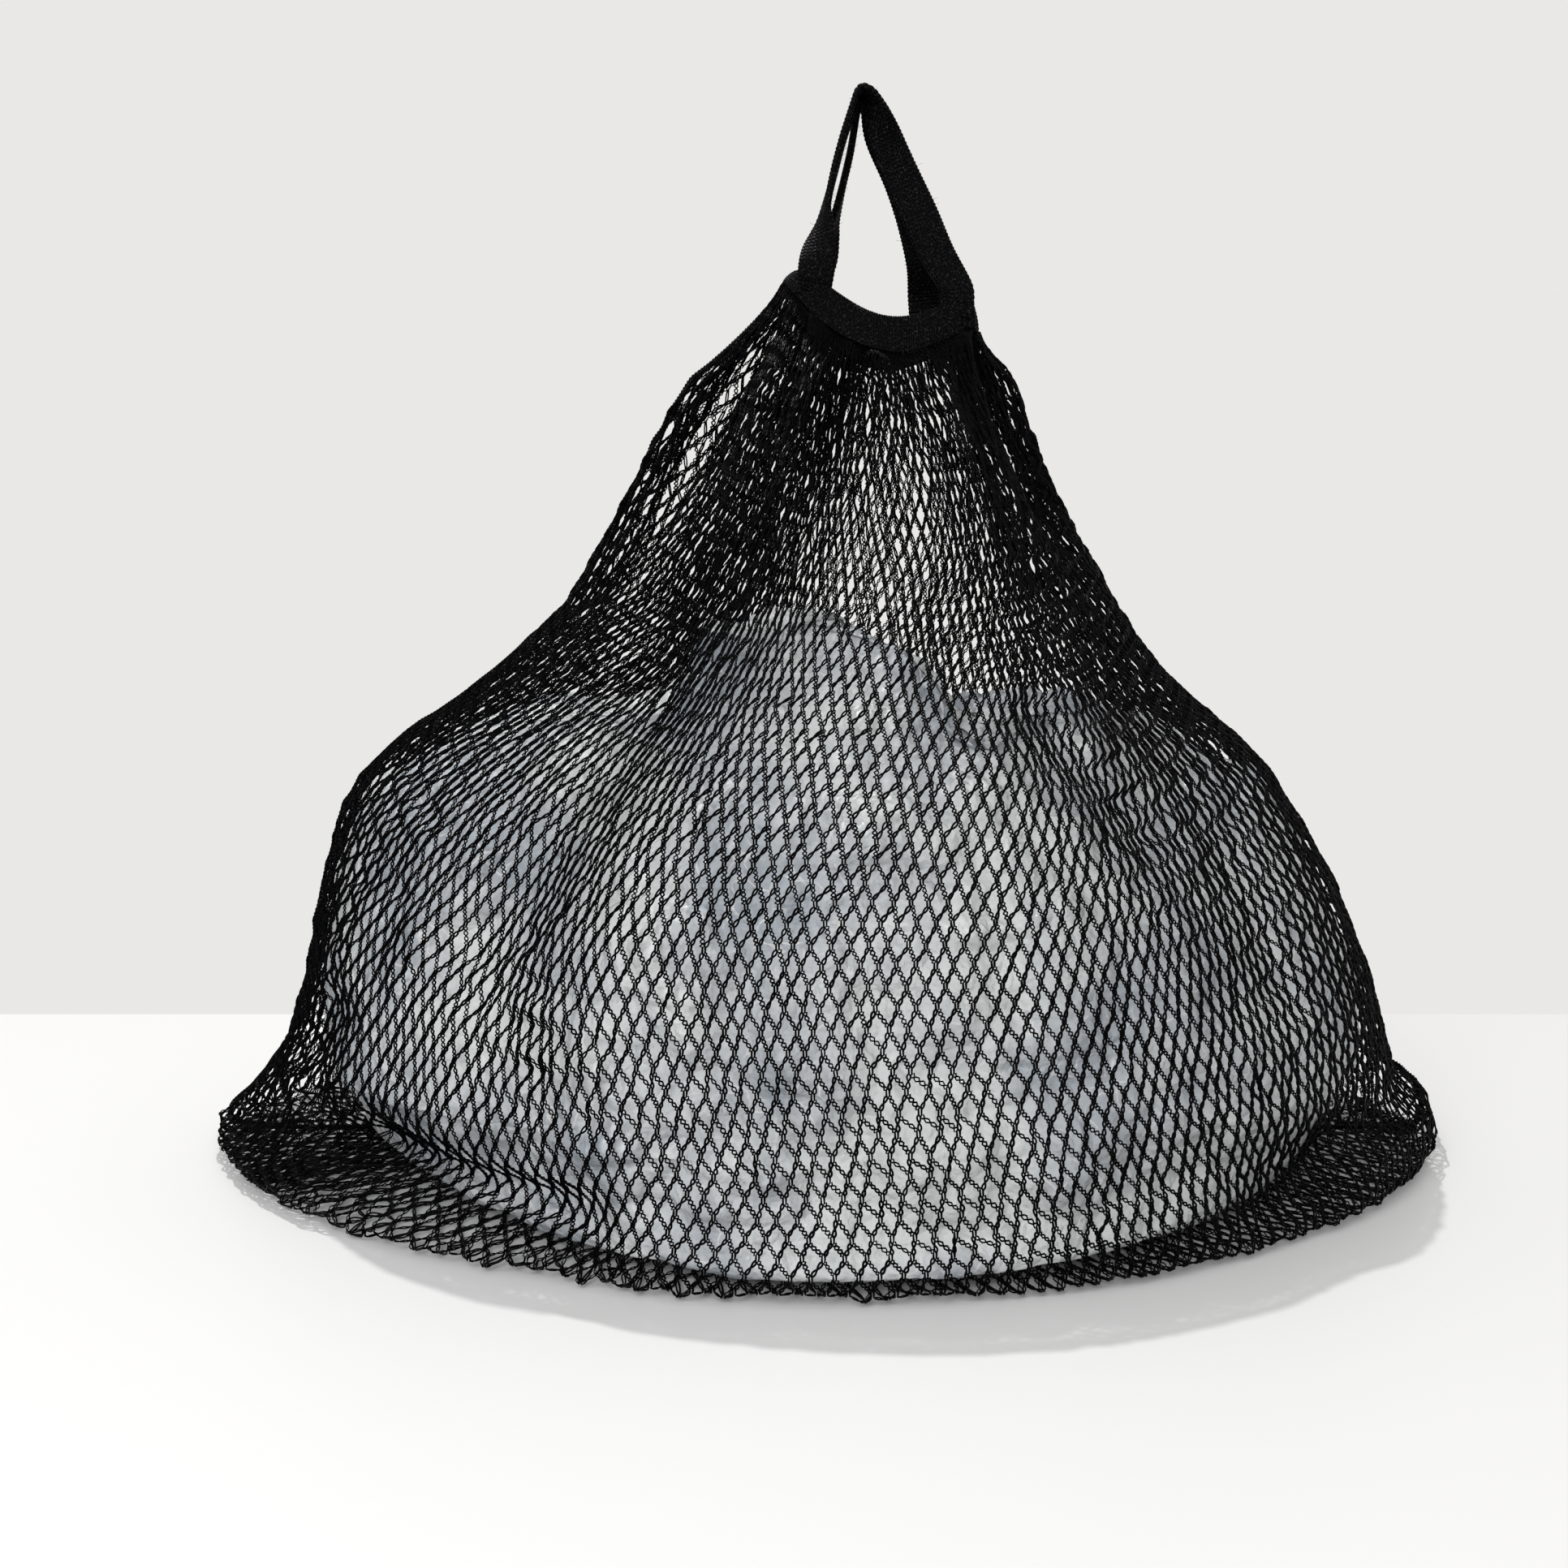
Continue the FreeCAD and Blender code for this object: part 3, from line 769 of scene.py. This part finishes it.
def make_handle(front):
    """One handle tape with its two sewn ends."""
    side = "front" if front else "back"
    body = side + "_handle"
    steps, around = 860, 108
    at, rows = smooth_rows(handle_rows(front), steps)
    centre, width = rows[:, :3], rows[:, 3:]
    tangent = unit(np.gradient(centre, axis=0))
    width = unit(width - tangent * np.sum(width * tangent, axis=1, keepdims=True))
    normal = np.cross(tangent, width)
    place, across, through, normal_a, normal_t = tape_section(TAPE_WIDTH, TAPE_THICKNESS, around)
    relief = knit_height(place[None, :], at[:, None])
    # The tape cups slowly one way and the other, and its width varies a little.
    cupped = 0.25 * np.cos(np.pi * across / TAPE_WIDTH)[None, :] * np.sin(at / 23.0)[:, None]
    widened = (1.0 + 0.03 * np.sin(at / 9.0))[:, None]
    a = across[None, :] * widened + relief * normal_a[None, :]
    t = through[None, :] + relief * normal_t[None, :] + cupped
    points = tape_points(centre, width, normal, a, t).reshape(-1, 3)
    out = width[:, None] * normal_a[None, :, None] + normal[:, None] * normal_t[None, :, None]
    seed = 21 if front else 22
    fibre_points, fibre_faces = stray_fibres(points, out.reshape(-1, 3), FIBRE_COUNT, seed)
    faces = np.concatenate([ring_quads(1, steps, around), fibre_faces + len(points)])
    piece = new_mesh(body + "_tape", np.concatenate([points, fibre_points]), faces)
    piece.data.materials.append(KNIT)
    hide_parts(body, side + "_left_strap_end", side + "_right_strap_end")
    up = np.array([-HANDLE_SLOPE, 0.0, 1.0])
    up = up / np.linalg.norm(up)
    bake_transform(piece)


def make_band():
    """Knitted band round the mouth, front and back halves with rounded edges."""
    for front in (True, False):
        side = "front" if front else "back"
        steps, around = 470, 100
        angle = half_ring_angles(front, steps)
        top, foot = rim_point(angle), band_foot(angle)
        height = float(np.linalg.norm(top - foot, axis=1).mean())
        place, across, through, normal_a, normal_t = tape_section(height, BAND_THICKNESS, around)
        middle = (top + foot) / 2
        rise = unit(top - foot)
        run = unit(np.gradient(middle, axis=0))
        outward = unit(np.cross(run, rise))
        centre = middle.mean(axis=0)
        flip = np.sign(np.sum(outward * (middle - centre), axis=1)).mean()
        outward = outward * np.sign(flip)
        taller = np.linalg.norm(top - foot, axis=1) / height
        relief = knit_height(lengths_along(middle)[:, None], place[None, :])
        bulge = 0.5 * np.cos(np.pi * across / height)
        a = across[None, :] * taller[:, None] + relief * normal_a[None, :]
        t = through[None, :] + relief * normal_t[None, :] + bulge[None, :]
        points = tape_points(middle, rise, outward, a, t)
        piece = new_mesh(side + "_band", points, ring_quads(1, steps, around))
        piece.data.materials.append(KNIT)
        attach(piece, BAG)
        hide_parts(side + "_mouth_band")
        if front:
            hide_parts("left_band_seam", "right_band_seam")


def make_stitching():
    """Two tacks across each sewn end of the tapes."""
    share = np.linspace(-1.0, 1.0, 13)
    ripple = 0.25 * np.sin(share * 18.0)
    bars = []
    for front in (True, False):
        sign = -1.0 if front else 1.0
        right_x, _, right_z = FRONT_HINGE_RIGHT if front else BACK_HINGE_RIGHT
        right_x, right_y = (right_x - 0.6, 16.4) if front else (right_x + 1.6, 19.0)
        ends = ((HINGE_LEFT[0] - 1.0, 16.2, HINGE_LEFT[2] - 4.0), (right_x, right_y, right_z - 5.0))
        for x, y, z in ends:
            for drop in (0.0, TACK_SPACING):
                height = z - drop + TACK_HALF * HANDLE_SLOPE * share
                bars.append(np.stack([x + TACK_HALF * share, sign * (y + ripple), height], -1))
    points, faces = tube_arrays(np.stack(bars), TACK_RADIUS, 6)
    piece = new_mesh("strap_tacks", points, faces)
    piece.data.materials.append(KNIT)
    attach(piece, BAG)
    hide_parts("strap_stitching")


# ---- clear film ----
def film_top(x):
    """Height of the film's heaped top, which changes along X only."""
    return np.interp(x, FILM_TOP_X, FILM_TOP_Z)


def cell_gap(points, scale, seed):
    """0 on the borders of irregular cells, growing towards their middles."""
    out = np.empty(len(points))
    shift = Vector((seed, 2.0 * seed, 3.0 * seed))
    for index, point in enumerate(points):
        distances, _ = noise.voronoi(Vector(point / scale) + shift)
        out[index] = distances[1] - distances[0]
    return out


def film_ring(height, around):
    """Outline of the film at one height, inside the net."""
    angle = 2 * np.pi * np.arange(around) / around
    left, right, depth, _, pointed = [float(value) for value in level(max(height, FILM_FOOT_Z))]
    low = np.clip((FILM_TUCK_Z - height) / FILM_TUCK_Z, 0.0, 1.0)
    left = max(left, FILM_LEFT_X + (FILM_FOOT_LEFT_X - FILM_LEFT_X) * low)
    right = min(right, FILM_RIGHT_X + (FILM_FOOT_RIGHT_X - FILM_RIGHT_X) * low)
    # Near its foot the film is more pointed at the sides, mostly at the left, and less deep.
    tip = min(pointed, 1.0) + low * np.where(np.cos(angle) < 0, 0.95, 0.5)
    x, y = oval(angle, (left + right) / 2, (right - left) / 2, depth - 6.0 * low, tip)
    ring = np.stack([x, y, np.full(around, float(height))], -1)
    centre, scale = outline_scale(ring, FILM_INSET, False)
    scale = np.minimum(scale, 1.0)
    ring[:, 0] = centre + (ring[:, 0] - centre) * scale
    ring[:, 1] *= scale
    return ring


def film_grid(around, rows):
    """Rows of points from the middle of the heaped top, down the walls and in under the floor."""
    heights = np.linspace(FILM_FOOT_Z, 212.0, 90)
    rings = np.stack([film_ring(height, around) for height in heights])
    # The walls end at the heap's height above the outline of this ring.
    shoulder = 60
    top = film_top(rings[shoulder, :, 0])
    roof_rows, floor_rows = int(rows * 0.22), int(rows * 0.12)
    wall_rows = rows - roof_rows - floor_rows
    column = np.arange(around)
    grid = []
    walls = []
    for share in np.linspace(1.0, 0.0, wall_rows):
        height = FILM_FOOT_Z + (top - FILM_FOOT_Z) * share
        at = (height - heights[0]) / (heights[1] - heights[0])
        index = np.clip(at.astype(int), 0, len(heights) - 2)
        part = (at - index)[:, None]
        walls.append(rings[index, column] * (1 - part) + rings[index + 1, column] * part)
    edge = walls[0]
    for share in np.linspace(0.04, 1.0, roof_rows, endpoint=False):
        x = edge[:, 0] * share
        y = edge[:, 1] * share
        heap = film_top(x)
        z = heap - (heap - edge[:, 2]) * share ** 6 - 5.0 * (1 - share) * (y / 60.0) ** 2
        grid.append(np.stack([x, y, z], -1))
    grid += walls
    foot = walls[-1]
    for share in np.linspace(1.0, 0.3, floor_rows + 1)[1:]:
        grid.append(foot * np.array([share, share, 1.0]))
    return np.stack(grid)


def make_film():
    """Crumpled clear film that fills the bag: a heaped top, walls and a floor."""
    around, rows = 420, 228
    points = film_grid(around, rows)
    flat = points.reshape(-1, 3)
    fold = np.zeros(len(flat))
    for size, squeeze, seed, slope, reach in FILM_CRUMPLES:
        fold += np.minimum(cell_gap(flat * np.array(squeeze), size, seed), reach) * slope
    # The crumples are shallower near the foot and at the sides.
    near_foot = np.clip((points[..., 2] - FILM_FOOT_Z) / 16.0, 0.2, 1.0)
    beside = 1.0 - 0.75 * np.clip((np.abs(points[..., 0]) - 110.0) / 50.0, 0.0, 1.0)
    inwards = np.maximum(FILM_FULL_HEIGHT - fold, 0.0).reshape(rows, around) * near_foot * beside
    d_row = np.gradient(points, axis=0)
    d_around = np.roll(points, -1, axis=1) - np.roll(points, 1, axis=1)
    normal = unit(np.cross(d_row, d_around))
    outward = np.sign(np.sum(normal * (points - points.mean(axis=(0, 1))), axis=-1).mean())
    points = points - normal * outward * inwards[..., None]
    points[..., 2] = np.maximum(points[..., 2], FILM_LOWEST_Z)
    piece = new_mesh("crumpled_film", points, ring_quads(1, rows, around))
    piece.data.materials.append(FILM)
    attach(piece, BAG)
    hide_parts("clear_film_insert")


# ---- materials ----
def make_material(name, add_nodes):
    """A new material, given its nodes by a function of its node tree and its Principled shader."""
    material = bpy.data.materials.new(name)
    material.use_nodes = True
    tree = material.node_tree
    add_nodes(tree, tree.nodes["Principled BSDF"])
    return material


def object_place(tree):
    return tree.nodes.new("ShaderNodeTexCoord").outputs["Object"]


def texture_node(tree, kind, place, scale):
    texture = tree.nodes.new(kind)
    texture.inputs["Scale"].default_value = scale
    tree.links.new(place, texture.inputs["Vector"])
    return texture


def noise_node(tree, place, scale, detail):
    texture = texture_node(tree, "ShaderNodeTexNoise", place, scale)
    texture.inputs["Detail"].default_value = detail
    return texture.outputs


def cell_edges(tree, place, scale):
    """Distance from the borders of irregular cells."""
    texture = texture_node(tree, "ShaderNodeTexVoronoi", place, scale)
    texture.feature = "DISTANCE_TO_EDGE"
    return texture.outputs["Distance"]


def colour_ramp(tree, factor, low, high, start, end):
    ramp = tree.nodes.new("ShaderNodeValToRGB")
    ramp.color_ramp.elements[0].position = start
    ramp.color_ramp.elements[0].color = (*low, 1.0)
    ramp.color_ramp.elements[1].position = end
    ramp.color_ramp.elements[1].color = (*high, 1.0)
    tree.links.new(factor, ramp.inputs["Fac"])
    return ramp.outputs["Color"]


def value_range(tree, factor, low, high):
    remap = tree.nodes.new("ShaderNodeMapRange")
    remap.inputs["To Min"].default_value = low
    remap.inputs["To Max"].default_value = high
    tree.links.new(factor, remap.inputs["Value"])
    return remap.outputs["Result"]


def math_node(tree, operation, first, second):
    node = tree.nodes.new("ShaderNodeMath")
    node.operation = operation
    tree.links.new(first, node.inputs[0])
    tree.links.new(second, node.inputs[1])
    return node.outputs["Value"]


def add_bump(tree, shader, height, strength, distance):
    bump = tree.nodes.new("ShaderNodeBump")
    bump.inputs["Strength"].default_value = strength
    bump.inputs["Distance"].default_value = distance
    tree.links.new(height, bump.inputs["Height"])
    tree.links.new(bump.outputs["Normal"], shader.inputs["Normal"])


def net_yarn_nodes(tree, shader):
    """Black yarn: almost no sheen, with slight patches in its tone and roughness."""
    patches = noise_node(tree, object_place(tree), scale=60.0, detail=3.0)["Fac"]
    colour = colour_ramp(tree, patches, (0.0004, 0.0004, 0.0005), (0.0015, 0.0015, 0.002), 0.35, 0.65)
    tree.links.new(colour, shader.inputs["Base Color"])
    tree.links.new(value_range(tree, patches, 0.25, 0.5), shader.inputs["Roughness"])
    shader.inputs["Specular IOR Level"].default_value = 0.03


def knit_nodes(tree, shader):
    """Black knit of the tapes and the band: almost no sheen, with paler speckles painted into the
    colour as glints on the stitches, and fine bumps.
    """
    place = object_place(tree)
    # Painted glints: pale speckles in the base colour stand for light caught on the stitches.
    painted_glint_specks = noise_node(tree, place, scale=1500.0, detail=2.0)["Fac"]
    colour = colour_ramp(tree, painted_glint_specks, (0.0005, 0.0005, 0.0006), (0.03, 0.03, 0.035), 0.57, 0.78)
    tree.links.new(colour, shader.inputs["Base Color"])
    patches = noise_node(tree, place, scale=140.0, detail=4.0)["Fac"]
    tree.links.new(value_range(tree, patches, 0.25, 0.55), shader.inputs["Roughness"])
    fibres = noise_node(tree, place, scale=2600.0, detail=3.0)["Fac"]
    add_bump(tree, shader, fibres, strength=0.5, distance=0.0003)
    shader.inputs["Specular IOR Level"].default_value = 0.03


def film_nodes(tree, shader):
    """Clear plastic film: random patches of paler and darker blue-grey, partly the film's uneven
    thickness and partly painted shade of folds, and creases with painted glints.
    """
    black, white = (0.0, 0.0, 0.0), (1.0, 1.0, 1.0)
    place = object_place(tree)
    # Random patches: partly the uneven tone of layered film, partly painted shade of folds.
    layer_tone_and_painted_shade = noise_node(tree, place, scale=19.0, detail=5.0)["Fac"]
    patches = colour_ramp(tree, layer_tone_and_painted_shade, FILM_DARK, FILM_PALE, 0.36, 0.56)
    shifted = tree.nodes.new("ShaderNodeMixRGB")
    shifted.inputs["Fac"].default_value = 0.012
    tree.links.new(place, shifted.inputs["Color1"])
    warp = noise_node(tree, place, scale=60.0, detail=2.0)["Color"]
    tree.links.new(warp, shifted.inputs["Color2"])
    warped = shifted.outputs["Color"]
    # Painted glints: thin white lines along the cell borders stand for light caught on the film's
    # creases.
    lines = colour_ramp(tree, cell_edges(tree, warped, scale=95.0), white, black, 0.0, 0.045)
    broken = noise_node(tree, place, scale=85.0, detail=2.0)["Fac"]
    keep = colour_ramp(tree, broken, black, white, 0.47, 0.58)
    painted_crease_glints = tree.nodes.new("ShaderNodeMixRGB")
    painted_crease_glints.inputs["Color2"].default_value = (*white, 1.0)
    tree.links.new(math_node(tree, "MULTIPLY", lines, keep), painted_crease_glints.inputs["Fac"])
    tree.links.new(patches, painted_crease_glints.inputs["Color1"])
    tree.links.new(painted_crease_glints.outputs["Color"], shader.inputs["Base Color"])
    wrinkles = noise_node(tree, place, scale=170.0, detail=5.0)["Fac"]
    relief = math_node(tree, "ADD", cell_edges(tree, warped, scale=78.0), wrinkles)
    add_bump(tree, shader, relief, strength=0.8, distance=0.005)
    shader.inputs["Roughness"].default_value = 0.14
    shader.inputs["Alpha"].default_value = 0.8


NET_YARN = make_material("net_yarn_black", net_yarn_nodes)
KNIT = make_material("knit_black", knit_nodes)
FILM = make_material("clear_film_crumpled", film_nodes)


# ---- stage, light, camera ----
def make_camera():
    """Camera a little above the bag's middle, looking slightly down, with no depth of field."""
    data = bpy.data.cameras.new("camera")
    data.lens = CAMERA_LENS
    data.sensor_width = 36.0
    data.clip_start = 0.01
    data.clip_end = 50.0
    camera = bpy.data.objects.new("camera", data)
    camera.location = Vector((CAMERA_X, -CAMERA_DISTANCE, CAMERA_HEIGHT)) * MM
    camera.rotation_euler = (math.pi / 2 - CAMERA_PITCH, 0.0, 0.0)
    bpy.context.collection.objects.link(camera)
    bpy.context.scene.camera = camera


def table_nodes(_, shader):
    """White table top, of one even colour."""
    shader.inputs["Base Color"].default_value = (0.57, 0.57, 0.573, 1.0)
    shader.inputs["Roughness"].default_value = 0.55


def make_stage():
    """White table top with a straight back edge."""
    corners = [
        (x, y, z)
        for z in (-TABLE_THICKNESS, 0.0)
        for y in (-TABLE_REACH, TABLE_BACK_Y)
        for x in (-TABLE_REACH, TABLE_REACH)
    ]
    faces = [(0, 2, 3, 1), (4, 5, 7, 6), (0, 1, 5, 4), (2, 6, 7, 3), (0, 4, 6, 2), (1, 3, 7, 5)]
    table = new_mesh("table", corners, faces, smooth=False)
    table.data.materials.append(make_material("table_white", table_nodes))


def area_light(name, place, target, size, power, colour):
    """Round lamp at a place, pointed at a target, all in metres and watts."""
    data = bpy.data.lights.new(name, "AREA")
    data.shape = "DISK"
    data.size = size
    data.energy = power
    data.color = colour
    light = bpy.data.objects.new(name, data)
    light.location = place
    direction = Vector(target) - Vector(place)
    light.rotation_euler = direction.to_track_quat("-Z", "Y").to_euler()
    bpy.context.collection.objects.link(light)


def make_light():
    """Even pale surroundings, a small key light behind and above, and a broad fill in front."""
    world = bpy.data.worlds.new("studio")
    bpy.context.scene.world = world
    world.use_nodes = True
    background = world.node_tree.nodes["Background"]
    background.inputs["Color"].default_value = (0.815, 0.808, 0.795, 1.0)
    background.inputs["Strength"].default_value = 1.0
    warm, white = (1.0, 0.99, 0.98), (1.0, 1.0, 1.0)
    area_light("key", (-0.28, 0.60, 1.90), (0.0, 0.0, 0.05), size=0.06, power=23.0, colour=warm)
    area_light("fill", (-0.6, -1.5, 1.2), (0.0, 0.0, 0.15), size=1.4, power=28.0, colour=white)


make_camera()
make_stage()
make_light()
bpy.context.scene.view_settings.view_transform = "Standard"

net = net_nodes(SETTLE_STEPS)
make_net(net)
make_seams(net)
make_band()
for is_front in (True, False):
    make_handle(is_front)
make_stitching()
make_film()
